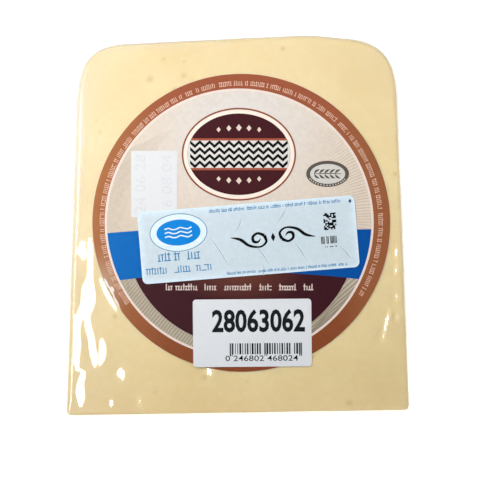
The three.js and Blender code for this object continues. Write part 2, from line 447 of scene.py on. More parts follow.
def taut_sheet():
    """The heights of the sheet on a grid, by conjugate gradients."""
    across, up = (low + GRID_STEP * np.arange(n) for low, n in zip(GRID_LOW, GRID_SIZE))
    across, up = np.meshgrid(across, up, indexing="ij")
    shifted = across + WARP * wander(across, up, WARP_SIZE, 7.7)
    flash = np.zeros(GRID_SIZE)
    for flash_path in FLASHES.values():
        fine = np.array(smooth_path(flash_path, 6))
        fine = fine[np.argsort(fine[:, 1])]
        middle = np.interp(up, fine[:, 1], fine[:, 0])
        width = np.interp(up, fine[:, 1], fine[:, 2], left=0, right=0)
        cover = np.clip((width / 2 - np.abs(shifted - middle)) / GRID_STEP + 0.5, 0, 1) * (width > 0.05)
        flash = np.maximum(flash, cover)
    from_centre = np.hypot(across - LABEL_CENTRE[0], up - LABEL_CENTRE[1])
    flash *= from_centre > FLASH_FREE
    spring = np.where(from_centre < HELD_WITHIN, HELD, SPRING)
    stiff = SLACK + (1 - SLACK) * flash
    stiff_x, stiff_y = (stiff[1:] + stiff[:-1]) / 2, (stiff[:, 1:] + stiff[:, :-1]) / 2
    rise = mirror_slope(across, up) * flash
    wanted = stiff_x * (rise[1:] + rise[:-1]) / 2 * GRID_STEP

    def pull(height):
        force = spring * height
        along, across_rows = stiff_x * np.diff(height, axis=0), stiff_y * np.diff(height, axis=1)
        force[:-1] -= along
        force[1:] += along
        force[:, :-1] -= across_rows
        force[:, 1:] += across_rows
        return force

    load = np.zeros(GRID_SIZE)
    load[:-1] -= wanted
    load[1:] += wanted
    height = np.zeros(GRID_SIZE)
    left_over, search = load.copy(), load.copy()
    size = (left_over**2).sum()
    for _ in range(SOLVER_STEPS):
        answer = pull(search)
        stride = size / (search * answer).sum()
        height += stride * search
        left_over -= stride * answer
        size, before = (left_over**2).sum(), size
        search = left_over + size / before * search
    print("taut sheet, mm:", round(height.min(), 2), "to", round(height.max(), 2), "left over:", size**0.5)
    return height


SHEET = taut_sheet()


# %% Height of the film
def swell(across, up):
    """The slow swell that everything follows, in millimetres, at arrays of face places."""
    return SWELL_HEIGHT * wander(across, up, SWELL_SIZE, 3.1)


def film_height(across, up):
    """The film's height off the flat cut, in millimetres, at arrays of face places."""
    i, j = ((np.asarray(v, float) - low) / GRID_STEP for v, low in zip((across, up), GRID_LOW))
    i, j = np.clip(i, 0, GRID_SIZE[0] - 1.001), np.clip(j, 0, GRID_SIZE[1] - 1.001)
    a, b = i.astype(int), j.astype(int)
    s, t = i - a, j - b
    near = SHEET[a, b] * (1 - t) + SHEET[a, b + 1] * t
    far = SHEET[a + 1, b] * (1 - t) + SHEET[a + 1, b + 1] * t
    return swell(across, up) + near * (1 - s) + far * s


# %% [markdown]
# ## The body of the wedge
#
# The wedge is its outline swept round the wheel's axis, so the tip is thin and the rim thick. Both cut
# faces are a grid stretched between the four sides, finer along the left and right margins, where the
# film is creased. Near the tip and the rim the columns lean over to meet those sides' own points, so
# that no cell folds over in a corner. Rings of the same points run down the sides and round the edges,
# so the whole is one closed skin. It is built twice: once as paste, and once slightly larger as film.

# %% Grid of the body
COLUMNS = 170
ROWS = 176
MARGIN = 18.0  # the finer strip along each side
MARGIN_COLUMNS = 43
ROUND_RINGS = 7
SIDE_RINGS = 36
TIP_GATHER = 0.06  # the columns lead to the tip's own points within this share of the face
RIM_GATHER = 0.3  # and to the rim's within this share


def resample(points, shares):
    """Points at those shares of a path's length."""
    steps = np.linalg.norm(np.diff(points, axis=0), axis=1)
    length = np.concatenate([[0], np.cumsum(steps)])
    return np.stack([np.interp(shares * length[-1], length, points[:, k]) for k in (0, 1)], 1)


def side_shares():
    """Where the columns stand across the face, from 0 to 1."""
    margin = MARGIN / (2 * TIP_HALF)
    middle = COLUMNS - 2 * MARGIN_COLUMNS
    left = np.linspace(0, margin, MARGIN_COLUMNS, endpoint=False)
    centre = np.linspace(margin, 1 - margin, middle, endpoint=False)
    return np.concatenate([left, centre, np.linspace(1 - margin, 1, MARGIN_COLUMNS + 1)])


def four_sides():
    """The outline as tip, right, rim and left sides, each with one point for each column or row."""
    sums, gaps = outline.sum(1), outline[:, 0] - outline[:, 1]
    corners = [int(np.argmin(sums)), int(np.argmax(gaps)), int(np.argmax(sums)), int(np.argmin(gaps))]
    turned = np.roll(outline, -corners[0], axis=0)
    closed = np.vstack([turned, turned[:1]])
    marks = [(c - corners[0]) % len(outline) for c in corners] + [len(outline)]
    columns, rows = side_shares(), np.linspace(0, 1, ROWS + 1)
    sides = zip(marks, marks[1:], (columns, rows, columns, rows))
    return [resample(closed[first : last + 1], shares)[:-1] for first, last, shares in sides]


# %% Points inside a cut face
def inside_of_face(loop):
    """The points inside a cut face, row by row, from the loop of points round it."""
    tip, right = loop[: COLUMNS + 1], loop[COLUMNS : COLUMNS + ROWS + 1]
    rim = loop[COLUMNS + ROWS : 2 * COLUMNS + ROWS + 1][::-1]
    left = np.vstack([loop[2 * COLUMNS + ROWS :], loop[:1]])[::-1]
    s, t = side_shares()[1:-1][None, :], np.linspace(0, 1, ROWS + 1)[1:-1][:, None]
    span = lambda side, k: ((side[:, k] - side[0, k]) / (side[-1, k] - side[0, k]))[1:-1]
    at_tip, at_rim = np.clip(1 - t / TIP_GATHER, 0, 1), np.clip(1 - (1 - t) / RIM_GATHER, 0, 1)
    by_tip, by_rim = (np.clip(span(side, 0)[None, :], 0.3 * s, 1 - 0.3 * (1 - s)) for side in (tip, rim))
    column_share = s + at_tip * (by_tip - s) + at_rim * (by_rim - s)
    row_share = (1 - s) * span(left, 1)[:, None] + s * span(right, 1)[:, None]
    x = left[1:-1, :1] + (right[1:-1, :1] - left[1:-1, :1]) * column_share
    y = tip[1:-1, 1][None, :] + (rim[1:-1, 1] - tip[1:-1, 1])[None, :] * row_share
    return np.stack([x.ravel(), y.ravel()], 1)


# %% Faces of the skin
def skin_faces(ring_count, around):
    """The faces between the rings, and then those of both cut faces."""
    faces = []
    for ring in range(ring_count - 1):
        for i in range(around):
            a, b = ring * around + i, ring * around + (i + 1) % around
            faces.append((a, b, b + around, a + around))

    def grid_index(first_ring, first_inner, i, j):
        """The point at column i and row j of a cut face."""
        if j == 0:
            return first_ring + i
        if i == COLUMNS:
            return first_ring + COLUMNS + j
        if j == ROWS:
            return first_ring + COLUMNS + ROWS + (COLUMNS - i)
        if i == 0:
            return first_ring + 2 * COLUMNS + ROWS + (ROWS - j)
        return first_inner + (j - 1) * (COLUMNS - 1) + i - 1

    lower_inner = ring_count * around
    upper_inner = lower_inner + (COLUMNS - 1) * (ROWS - 1)
    for i in range(COLUMNS):
        for j in range(ROWS):
            corners = ((i, j), (i + 1, j), (i + 1, j + 1), (i, j + 1))
            faces.append(tuple(grid_index(lower_inner - around, upper_inner, *c) for c in corners))
            faces.append(tuple(grid_index(0, lower_inner, *c) for c in reversed(corners)))
    return faces


# %% One closed skin
RELIEF_DEPTH = 9.0  # the relief of the labelled face dies away this far down the sides
PUCKER = 0.35  # how far the sides wander in and out
PUCKER_WIDTH = 17.0
PUCKER_HEIGHT = 23.0
PUCKER_START = 6.0  # the puckers are at full height this far below the labelled face
RIM_SHARE = 0.35  # of the side gap, where the film is drawn tight over the rim
TIP_SHARE = 1.5  # and where it is slack over the tip


def wedge_skin(face_gap, side_gap, pits=()):
    """Points in metres, faces, face places and depths below the labelled face, for one skin.

    The gaps say how far it stands off the plain wedge, on the cut faces and round the sides."""
    rim_points = np.vstack(four_sides())
    around = len(rim_points)
    along = np.roll(rim_points, -1, axis=0) - np.roll(rim_points, 1, axis=0)
    along /= np.linalg.norm(along, axis=1)[:, None]
    inward = np.stack([-along[:, 1], along[:, 0]], 1)

    turns = np.linspace(0, math.pi / 2, ROUND_RINGS + 1)
    lower = [(1 - math.sin(t), 1 - math.cos(t), 0.0) for t in turns]
    middle = [(0.0, 1.0, i / SIDE_RINGS) for i in range(1, SIDE_RINGS)]
    rings = lower + middle + [(inset, low, 1.0) for inset, low, _ in reversed(lower)]

    thickness = (TIP_TO_AXIS + rim_points[:, 1]) * WEDGE_ANGLE
    roundness = np.minimum(EDGE_ROUND, ROUND_SHARE * thickness)
    flat, angle = [], []
    for inset, low, share in rings:
        place = rim_points + inward * (inset * roundness)[:, None]
        lowest = low * roundness / (TIP_TO_AXIS + place[:, 1])
        flat.append(place)
        angle.append(lowest + (WEDGE_ANGLE - 2 * lowest) * share)

    inner = inside_of_face(flat[-1])
    places = np.vstack(flat + [inner, inner])
    angles = np.concatenate(angle + [np.zeros(len(inner)), np.full(len(inner), WEDGE_ANGLE)])
    outward = np.vstack([-inward] * len(rings) + [np.zeros_like(inner)] * 2)
    bend = np.concatenate([np.full(around, 1 - r[0]) for r in rings] + [np.zeros(2 * len(inner))])

    radius = TIP_TO_AXIS + places[:, 1]
    depth = (WEDGE_ANGLE - angles) * radius
    height = film_height(places[:, 0], places[:, 1]) * np.clip(1 - depth / RELIEF_DEPTH, 0, 1) ** 2
    for across, up, size, deep in pits:
        near = ((places[:, 0] - across) ** 2 + (places[:, 1] - up) ** 2) / size**2
        height -= deep * np.exp(-near) * (depth < 0.5)
    rimward, tipward = np.clip(outward[:, 1], 0, 1), np.clip(-outward[:, 1], 0, 1)
    spots = zip(places[:, 0] / PUCKER_WIDTH, radius / PUCKER_WIDTH, angles * radius / PUCKER_HEIGHT)
    puckers = PUCKER * np.array([noise.noise(Vector(spot)) for spot in spots])
    gap = side_gap * (1 - (1 - RIM_SHARE) * rimward + (TIP_SHARE - 1) * tipward)
    sideways = bend * (gap + np.clip(depth / PUCKER_START, 0, 1) * puckers)
    lift = height + face_gap * (1 - bend) * np.where(angles > WEDGE_ANGLE / 2, 1, -1)

    x = places[:, 0] + outward[:, 0] * sideways
    radius = radius + outward[:, 1] * sideways
    y = radius * np.cos(angles) - lift * np.sin(angles)
    z = radius * np.sin(angles) + lift * np.cos(angles)
    points = (np.stack([x, y, z], 1) + WHEEL_AXIS) * MM
    return points, skin_faces(len(rings), around), places, depth


# %% [markdown]
# A mesh goes straight from arrays into an object. Every piece is made at the origin with its place in
# its points, and rides on the one body there is.

# %% From arrays to a piece
def make_piece(name, points, faces, material, node=None, smooth=True):
    mesh = bpy.data.meshes.new(name)
    mesh.from_pydata([tuple(p) for p in points], [], faces)
    mesh.validate()
    mesh.materials.append(material)
    mesh.polygons.foreach_set("use_smooth", [smooth] * len(mesh.polygons))
    piece = bpy.data.objects.new(name, mesh)
    bpy.context.scene.collection.objects.link(piece)
    if node:
        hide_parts(node)
    return piece


def give_numbers(piece, name, values):
    attribute = piece.data.attributes.new(name, "FLOAT", "POINT")
    attribute.data.foreach_set("value", np.asarray(values, np.float32))


# %% The paste
KNOWN_PITS = [  # across, up, size and depth
    (-29.6, 111.9, 1.3, 0.22), (-18.1, 113.2, 1.0, 0.2), (15.1, 122.2, 1.0, 0.2), (52.8, 80.0, 0.9, 0.2),
]
PIT_COUNT = 28
CHEESE_GAPS = (-0.04, 0.15)
FILM_GAPS = (0.04, 0.7)

rng = random.Random(11)
pits = list(KNOWN_PITS)
for _ in range(PIT_COUNT):
    size = rng.uniform(0.5, 1.1)
    pits.append((rng.uniform(-54, 54), rng.uniform(3, 122), size, 0.16 * size))

points, faces, places, depth = wedge_skin(*CHEESE_GAPS, pits)
cheese = make_piece("cheese_paste", points, faces, CHEESE, "vacuum_pack")
# Painted shade in the pits: how far the paste's colour is darkened there.
pit_shade_share = np.zeros(len(points))
for across, up, size, deep in pits:
    near = ((places[:, 0] - across) ** 2 + (places[:, 1] - up) ** 2) / (size * 0.8) ** 2
    pit_shade_share = np.maximum(pit_shade_share, np.exp(-near) * (depth < 0.5) * 0.6)
give_numbers(cheese, "painted_pit_shade", pit_shade_share)
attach(cheese, "root")
print("paste:", len(faces), "faces")

# %% [markdown]
# ## Creases drawn by Geometry Nodes
#
# Between the big creases the film has many fine ones. They run the short way down each side, because
# the film shrinks most along the wedge, and out over the margins of the cut faces. A small node tree
# raises them from ridged noise, stretched along each side, and only where the mesh says so.

# %% Making and running a node tree
def run_tree(piece, tree, values):
    """Evaluates a node tree on a piece and gives back the plain mesh. Values go in by input name."""
    modifier = piece.modifiers.new(tree.name, "NODES")
    modifier.node_group = tree
    for item in tree.interface.items_tree:
        if item.in_out == "INPUT" and item.name in values:
            value = values[item.name]
            modifier[item.identifier] = float(value) if item.socket_type == "NodeSocketFloat" else value
    bpy.context.view_layer.update()
    evaluated = piece.evaluated_get(bpy.context.evaluated_depsgraph_get())
    mesh = bpy.data.meshes.new_from_object(evaluated)
    piece.modifiers.remove(modifier)
    return mesh


def new_tree(name, counts, sizes):
    """An empty geometry tree whose named inputs are whole numbers, sizes and a material."""
    tree = bpy.data.node_groups.new(name, "GeometryNodeTree")
    kinds = {"Geometry": "Geometry", "Material": "Material"}
    kinds.update(dict.fromkeys(counts, "Int"))
    kinds.update(dict.fromkeys(sizes, "Float"))
    for label, kind in kinds.items():
        tree.interface.new_socket(label, in_out="INPUT", socket_type="NodeSocket" + kind)
    tree.interface.new_socket("Geometry", in_out="OUTPUT", socket_type="NodeSocketGeometry")
    return tree, add(tree, "NodeGroupInput").outputs


def end_tree(tree, geometry, material):
    """Every tree ends in realized, finished geometry."""
    real = add(tree, "GeometryNodeRealizeInstances", [geometry])
    finished = add(tree, "GeometryNodeSetMaterial", {"Geometry": real, "Material": material})
    add(tree, "NodeGroupOutput", [finished])


# %% Node tree for fine creases
def fine_crease_tree():
    tree, given = new_tree("fine creases", (), ("Height", "Crease Width", "Seed"))
    parts = add(tree, "ShaderNodeSeparateXYZ", [add(tree, "GeometryNodeInputPosition")]).outputs
    squeezed = add(tree, "ShaderNodeMath", [parts["Z"], 0.22], operation="MULTIPLY")
    waves = {
        "Vector": add(tree, "ShaderNodeCombineXYZ", [parts["X"], parts["Y"], squeezed]),
        "Scale": add(tree, "ShaderNodeMath", [1.0, given["Crease Width"]], operation="DIVIDE"),
        "Detail": 1.5,
        "W": given["Seed"],
    }
    waves = add(tree, "ShaderNodeTexNoise", waves, noise_dimensions="4D")
    middle = add(tree, "ShaderNodeMath", [waves, 0.5], operation="SUBTRACT")
    distance = add(tree, "ShaderNodeMath", [middle], operation="ABSOLUTE")
    ridge = {"Value": distance, "From Min": 0.0, "From Max": 0.12, "To Min": 1.0, "To Max": 0.0}
    ridge = add(tree, "ShaderNodeMapRange", ridge, interpolation_type="SMOOTHSTEP")
    mask = add(tree, "GeometryNodeInputNamedAttribute", {"Name": "creased"}, data_type="FLOAT")
    raised = add(tree, "ShaderNodeMath", [ridge, mask], operation="MULTIPLY")
    tall = add(tree, "ShaderNodeMath", [raised, given["Height"]], operation="MULTIPLY")
    offset = {0: add(tree, "GeometryNodeInputNormal"), "Scale": tall}
    offset = add(tree, "ShaderNodeVectorMath", offset, operation="SCALE")
    moved_skin = add(tree, "GeometryNodeSetPosition", {"Geometry": given["Geometry"], "Offset": offset})
    end_tree(tree, moved_skin, given["Material"])
    return tree


# %% [markdown]
# The film is not equally clear all over. White is mixed into it: partly the milkiness of stretched film,
# and partly painted sheen of the lamps, most of all over the edges, down the left margin, along the upper
# left edge and round the rim, and least near the right of the tip. Stretched film is also duller, so its
# shine is weakest at the edges and comes back down the sides.

# %% The film
FACE_HAZE = 0.02  # the clearest film, near the tip
RIM_SHEEN = 0.08  # painted sheen, added towards the rim
MARGIN_SHEEN = 0.11  # painted sheen, added down the left margin, where the film is gathered
MARGIN_REACH = 17.0
BORDER_SHEEN = 0.3  # painted sheen, added along the upper left edge and the rim's left half
BORDER_REACH = (2.6, 3.0)
EDGE_HAZE_AND_SHEEN = 0.42  # milky film and painted sheen, where the film is stretched over the edges
SIDE_HAZE = 0.1
EDGE_DEPTH = 1.5  # it is haziest this far down
CLEARING = 5.0  # and clears again over so much more
EDGE_SHINE = 0.3
SHINY_AGAIN = 8.0  # its shine is back this far down the sides


def film_haze_and_sheen(across, up, depth):
    """How much white is mixed into the film, from 0 to 1: partly milky film and partly painted sheen."""
    high = np.clip(up / 110, 0, 1)
    margin = np.exp(-(((across + 58) / MARGIN_REACH) ** 2)) * (0.5 + 0.5 * high)
    from_left, from_rim = across - LEFT_TAPER * up + TIP_HALF, up - RIM_REACH
    border = np.exp(-((from_left / BORDER_REACH[0]) ** 2)) * np.clip(up / 60 - 0.5, 0, 1)
    border = border + np.exp(-((from_rim / BORDER_REACH[1]) ** 2)) * np.clip(-across / 50, 0, 1)
    haze_and_sheen = FACE_HAZE + RIM_SHEEN * high + MARGIN_SHEEN * margin + BORDER_SHEEN * border
    over_edge = np.clip(depth / EDGE_DEPTH, 0, 1)
    down = np.clip((depth - EDGE_DEPTH) / CLEARING, 0, 1)
    return haze_and_sheen * (1 - over_edge) + over_edge * (EDGE_HAZE_AND_SHEEN * (1 - down) + SIDE_HAZE * down)


LABEL_CLEARANCE = 1.5  # the film is smooth this far round the round label
FINE_HEIGHT = 0.18  # the fine creases down the sides
FINE_WIDTH = 8.5
MARGIN_CREASES = 0.35  # how high they are on the cut face's margins, against the sides

points, faces, places, depth = wedge_skin(*FILM_GAPS)
film = make_piece("shrink_film", points, faces, FILM)
from_centre = np.hypot(places[:, 0] - LABEL_CENTRE[0], places[:, 1] - LABEL_CENTRE[1])
on_margin = np.clip((from_centre - LABEL_RADIUS - LABEL_CLEARANCE) / 8, 0, 1) * MARGIN_CREASES
on_side = np.clip(depth / 5, 0.1, 1)
give_numbers(film, "creased", np.where(depth < 0.2, on_margin, on_side))
# White mixed into the film: partly milky film, partly painted sheen where the lamps fall.
give_numbers(film, "haze_and_sheen", film_haze_and_sheen(places[:, 0], places[:, 1], depth))
give_numbers(film, "shine", np.where(depth < 0.01, 1, np.clip(depth / SHINY_AGAIN, EDGE_SHINE, 1)))
film.data = run_tree(
    film,
    fine_crease_tree(),
    {"Height": FINE_HEIGHT * MM, "Crease Width": FINE_WIDTH * MM, "Seed": 4.0, "Material": FILM},
)
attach(film, "root")
print("film:", len(film.data.polygons), "faces")

# %% [markdown]
# ## Cutting and laying paper
#
# A label starts as a flat shape on the drawing board, cut into cells about a millimetre wide, so that
# it can follow the film when it is laid down. Round things are drawn between two circles, and straight
# ones between two side lines. Laying gives each flat point the film's own height plus its layer's. The
# papers are a tenth of a millimetre thick and overlap in the order they were stuck on: the round label,
# then the small price label and the bar sticker, and the seal strip over them. Ink is a tenth as thick.

# %% Heights of the layers
PAPER = 0.1
INK = 0.01
LAYER = 0.012  # from one printed layer to the next
ROUND_TOP = 0.24  # the upper sides of the papers
SMALL_TOP = 0.43
STRIP_TOP = 0.6

# %% Flat shapes
CELL = 1.2


def between_circles(inner_centre, inner_radius, outer_centre, outer_radius, cell=CELL):
    """Cells between two circles, which may have different centres. An inner radius of 0 gives a disc."""
    spokes = max(8, math.ceil(2 * math.pi * outer_radius / cell))
    bands = max(1, math.ceil((outer_radius - inner_radius) / cell))
    points = []
    for band in range(bands + 1):
        for k in range(spokes):
            angle = 2 * math.pi * k / spokes
            direction = np.array((math.cos(angle), math.sin(angle)))
            near = np.array(inner_centre) + direction * max(inner_radius, 0.02)
            far = np.array(outer_centre) + direction * outer_radius
            points.append(near + (far - near) * band / bands)
    faces = []
    for band in range(bands):
        for k in range(spokes):
            a, b = band * spokes + k, band * spokes + (k + 1) % spokes
            faces.append((a, a + spokes, b + spokes, b))
    if inner_radius == 0:
        faces.append(tuple(range(spokes)))
    return points, faces


def between_lines(ups, left, right, cell=CELL):
    """Cells between two side lines, given as functions of how far up."""
    columns = max(1, math.ceil(max(right(y) - left(y) for y in ups) / cell))
    points = [(left(y) + (right(y) - left(y)) * i / columns, y) for y in ups for i in range(columns + 1)]
    starts = [row * (columns + 1) + i for row in range(len(ups) - 1) for i in range(columns)]
    return points, [(a, a + 1, a + columns + 2, a + columns + 1) for a in starts]


# %% Stickers and single faces
def sticker(width, height, corner, cell=CELL):
    """A rectangle with rounded corners, centred on nought."""
    low = [corner * (1 - math.cos(math.radians(18 * i))) - height / 2 for i in range(6)]
    upright = height - 2 * corner
    rows = max(1, math.ceil(upright / cell))
    between = [upright * (i / rows - 0.5) for i in range(1, rows)]

    def half(y):
        over = max(0.0, abs(y) - (height / 2 - corner))
        return width / 2 - corner + math.sqrt(max(corner**2 - over**2, 0))

    return between_lines(low + between + [-y for y in reversed(low)], lambda y: -half(y), half, cell)


def outline_shape(points):
    """One flat face from its corners."""
    return points, [tuple(range(len(points)))]


def moved(shape, across, up, turn=0.0):
    """A shape turned by some degrees and moved to its place."""
    points, faces = shape
    c, s = math.cos(math.radians(turn)), math.sin(math.radians(turn))
    return [(across + c * p[0] - s * p[1], up + s * p[0] + c * p[1]) for p in points], faces


# %% Laying the sheets
def sides_of(face):
    return zip(face, face[1:] + face[:1])


def facing_up(points, faces):
    """Turns over the faces that look down."""
    turned = []
    for face in faces:
        twice_area = sum(points[a][0] * points[b][1] - points[b][0] * points[a][1] for a, b in sides_of(face))
        turned.append(face if twice_area > 0 else face[::-1])
    return turned


def plate_faces(faces, count):
    """The faces of a closed plate whose upper side has those faces and so many points."""
    edges = dict.fromkeys(edge for face in faces for edge in sides_of(face))
    rims = [(a, a + count, b + count, b) for a, b in edges if (b, a) not in edges]
    return faces + [tuple(i + count for i in reversed(face)) for face in faces] + rims


def lay_sheets(name, top, sheets, material, node=None):
    """Lays flat sheets on the film as one piece. A sheet is its shape, its layer and its colour.

    Layer 0 is the paper, whose upper side is at the given height. The others are ink on it."""
    all_points, all_faces, colours = [], [], []
    for (flat, faces), layer, colour in sheets:
        height = top + LAYER * layer
        first = len(all_points)
        for level in (height, height - (INK if layer else PAPER)):
            all_points += [(x, y, level) for x, y in flat]
            colours += [colour(x, y) if callable(colour) else colour for x, y in flat]
        for face in plate_faces(facing_up(flat, faces), len(flat)):
            all_faces.append(tuple(i + first for i in face))
    placed = np.array(all_points)
    placed[:, 2] += swell(placed[:, 0], placed[:, 1])
    piece = make_piece(name, on_face(placed), all_faces, material, node, smooth=False)
    ink = piece.data.attributes.new("ink", "FLOAT_COLOR", "POINT")
    ink.data.foreach_set("color", np.array(colours, np.float32).ravel())
    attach(piece, "root")
    print(name, len(all_faces), "faces")


# %% [markdown]
# ## Rows of printed marks
#
# Small print, upright bars and hatching all repeat, so node trees lay them out. One tree makes a row of
# marks of uneven width, straight or bent round a circle, and leaves some out, as between words. The
# other hatches the field with thin wavy strokes that start from its round edge.

# %% Node tree for rows of marks
MARK_SIZES = (
    "Pitch", "Bend Radius", "Start Angle", "Shortest", "Tallest", "Narrowest", "Widest", "Gap Share",
    "First Break", "Second Break",
)
TALL_SHARE = 0.3  # of the marks


def mark_row_tree():
    tree, given = new_tree("row of marks", ("Count", "Seed"), MARK_SIZES)
    number, radius, seed = add(tree, "GeometryNodeInputIndex"), given["Bend Radius"], given["Seed"]
    run = add(tree, "ShaderNodeMath", [number, given["Pitch"]], operation="MULTIPLY")
    arc = add(tree, "ShaderNodeMath", [run, radius], operation="DIVIDE")
    angle = add(tree, "ShaderNodeMath", [given["Start Angle"], arc], operation="SUBTRACT")
    upright = add(tree, "ShaderNodeMath", [angle, math.pi / 2], operation="SUBTRACT")
    reach = [add(tree, "ShaderNodeMath", [angle], operation=kind) for kind in ("COSINE", "SINE")]
    reach = [add(tree, "ShaderNodeMath", [part, radius], operation="MULTIPLY") for part in reach]
    bent = add(tree, "FunctionNodeCompare", [radius, 0.0], operation="GREATER_THAN")
    places = {
        "Switch": bent,
        "False": add(tree, "ShaderNodeCombineXYZ", [run]),
        "True": add(tree, "ShaderNodeCombineXYZ", reach),
    }
    place = add(tree, "GeometryNodeSwitch", places, input_type="VECTOR")
    lean = add(tree, "GeometryNodeSwitch", {"Switch": bent, "True": upright}, input_type="FLOAT")

    width = {2: given["Narrowest"], 3: given["Widest"], "Seed": seed}
    width = add(tree, "FunctionNodeRandomValue", width, data_type="FLOAT").outputs[1]
    other_seed = add(tree, "ShaderNodeMath", [seed, 500.0], operation="ADD")
    tall = {"Probability": TALL_SHARE, "Seed": other_seed}
    tall = add(tree, "FunctionNodeRandomValue", tall, data_type="BOOLEAN").outputs[3]
    height = {"Switch": tall, "False": given["Shortest"], "True": given["Tallest"]}
    height = add(tree, "GeometryNodeSwitch", height, input_type="FLOAT")
    left_out = {"Probability": given["Gap Share"], "Seed": seed}
    left_out = add(tree, "FunctionNodeRandomValue", left_out, data_type="BOOLEAN").outputs[3]
    kept = add(tree, "FunctionNodeBooleanMath", [left_out], operation="NOT")
    for word in ("First Break", "Second Break"):
        count_on = add(tree, "ShaderNodeMath", [number, given[word]], operation="FLOORED_MODULO")
        inside = add(tree, "FunctionNodeCompare", [count_on, 0.5], operation="GREATER_THAN")
        kept = add(tree, "FunctionNodeBooleanMath", [kept, inside], operation="AND")

    mark = add(tree, "GeometryNodeMeshGrid", {"Size X": 1.0, "Size Y": 1.0, "Vertices X": 2, "Vertices Y": 2})
    row = {
        "Points": add(tree, "GeometryNodePoints", {"Count": given["Count"], "Position": place}),
        "Selection": kept,
        "Instance": add(tree, "GeometryNodeTransform", {"Geometry": mark, "Translation": (0, 0.5, 0)}),
        "Rotation": add(tree, "ShaderNodeCombineXYZ", {2: lean}),
        "Scale": add(tree, "ShaderNodeCombineXYZ", [width, height, 1.0]),
    }
    end_tree(tree, add(tree, "GeometryNodeInstanceOnPoints", row), given["Material"])
    return tree


# %% Node tree for hatching
HATCH_SIZES = (
    "Radius", "First Place", "Last Place", "First Heading", "Last Heading", "Longest", "Line Width",
    "Wave Height", "Wave Length",
)
HATCH_SUMS = [  # each row is a result, how it is worked out, and from what
    ("place span", "SUBTRACT", "Last Place", "First Place"),
    ("place", "MULTIPLY_ADD", "share", "place span", "First Place"),
    ("heading span", "SUBTRACT", "Last Heading", "First Heading"),
    ("heading", "MULTIPLY_ADD", "share", "heading span", "First Heading"),
    ("lean", "SUBTRACT", "heading", "place"),
    ("lean", "COSINE", "lean"),
    ("chord", "MULTIPLY", "lean", "Radius"),
    ("chord", "MULTIPLY", "chord", -2.0),
    ("length", "MINIMUM", "chord", "Longest"),
    ("length", "MAXIMUM", "length", 0.0),
    ("along", "ADD", "own y", 0.5),
    ("along", "MULTIPLY", "along", "length"),
    ("turns", "DIVIDE", "along", "Wave Length"),
    ("turns", "MULTIPLY_ADD", "share", 37.0, "turns"),
    ("wave", "SINE", "turns"),
    ("wave", "MULTIPLY", "wave", "Wave Height"),
    ("side", "MULTIPLY_ADD", "own x", "Line Width", "wave"),
    ("east", "COSINE", "heading"),
    ("north", "SINE", "heading"),
    ("start x", "COSINE", "place"),
    ("start y", "SINE", "place"),
    ("x", "MULTIPLY", "east", "along"),
    ("x", "MULTIPLY_ADD", "start x", "Radius", "x"),
    ("y", "MULTIPLY", "north", "along"),
    ("y", "MULTIPLY_ADD", "start y", "Radius", "y"),
    ("aside x", "MULTIPLY", "north", "side"),
    ("x", "SUBTRACT", "x", "aside x"),
    ("aside y", "MULTIPLY", "east", "side"),
    ("y", "ADD", "y", "aside y"),
]


def hatch_tree():
    """Wavy strokes that start on a circle and run inwards, no further than the circle's other side."""
    tree, given = new_tree("hatching", ("Count",), HATCH_SIZES)
    last = add(tree, "ShaderNodeMath", [given["Count"], 1.0], operation="SUBTRACT")
    number = add(tree, "GeometryNodeInputIndex")
    marked = {
        "Geometry": add(tree, "GeometryNodePoints", {"Count": given["Count"]}),
        "Name": "stroke",
        "Value": add(tree, "ShaderNodeMath", [number, last], operation="DIVIDE"),
    }
    marked = add(tree, "GeometryNodeStoreNamedAttribute", marked, data_type="FLOAT")
    stroke = {"Size X": 1.0, "Size Y": 1.0, "Vertices X": 2, "Vertices Y": 15}
    stroke = add(tree, "GeometryNodeMeshGrid", stroke)
    set_out = add(tree, "GeometryNodeInstanceOnPoints", {"Points": marked, "Instance": stroke})
    real = add(tree, "GeometryNodeRealizeInstances", [set_out])
    parts = add(tree, "ShaderNodeSeparateXYZ", [add(tree, "GeometryNodeInputPosition")]).outputs
    share = add(tree, "GeometryNodeInputNamedAttribute", {"Name": "stroke"}, data_type="FLOAT")
    known = {"share": share, "own x": parts["X"], "own y": parts["Y"]}
    known.update((name, given[name]) for name in HATCH_SIZES)
    for result, operation, *terms in HATCH_SUMS:
        terms = [known.get(term, term) for term in terms]
        known[result] = add(tree, "ShaderNodeMath", terms, operation=operation)
    spot = add(tree, "ShaderNodeCombineXYZ", [known["x"], known["y"]])
    placed = add(tree, "GeometryNodeSetPosition", {"Geometry": real, "Position": spot})
    end_tree(tree, placed, given["Material"])
    return tree


# %% Marks and hatching as flat shapes
MARK_TREE = mark_row_tree()
HATCH_TREE = hatch_tree()
NO_BREAKS = (1000, 1000)  # a break stands where the number is a multiple of one of these
print("node trees:", [tree.name for tree in bpy.data.node_groups])


def flat_mesh(mesh):
    """A mesh's points and faces on the drawing board. The mesh itself goes."""
    points = [(v.co.x, v.co.y) for v in mesh.vertices]
    faces = [tuple(p.vertices) for p in mesh.polygons]
    bpy.data.meshes.remove(mesh)
    return points, faces


def flat_from_tree(tree, values):
    """Runs a tree on an empty mesh and gives back what it made, as flat points and faces."""
    blank = bpy.data.objects.new("blank", bpy.data.meshes.new("blank"))
    bpy.context.scene.collection.objects.link(blank)
    mesh = run_tree(blank, tree, {**values, "Material": PRESS_INK})
    bpy.data.objects.remove(blank)
    return flat_mesh(mesh)


def mark_row(count, pitch, heights, widths, gaps, seed, radius=0.0, start=0.0, breaks=NO_BREAKS):
    """Marks that stand on a line from nought to the right, or on a circle, clockwise from an angle."""
    sizes = (pitch, radius, math.radians(start), *heights, *widths, gaps, *breaks)
    return flat_from_tree(MARK_TREE, {"Count": count, "Seed": seed, **dict(zip(MARK_SIZES, sizes))})


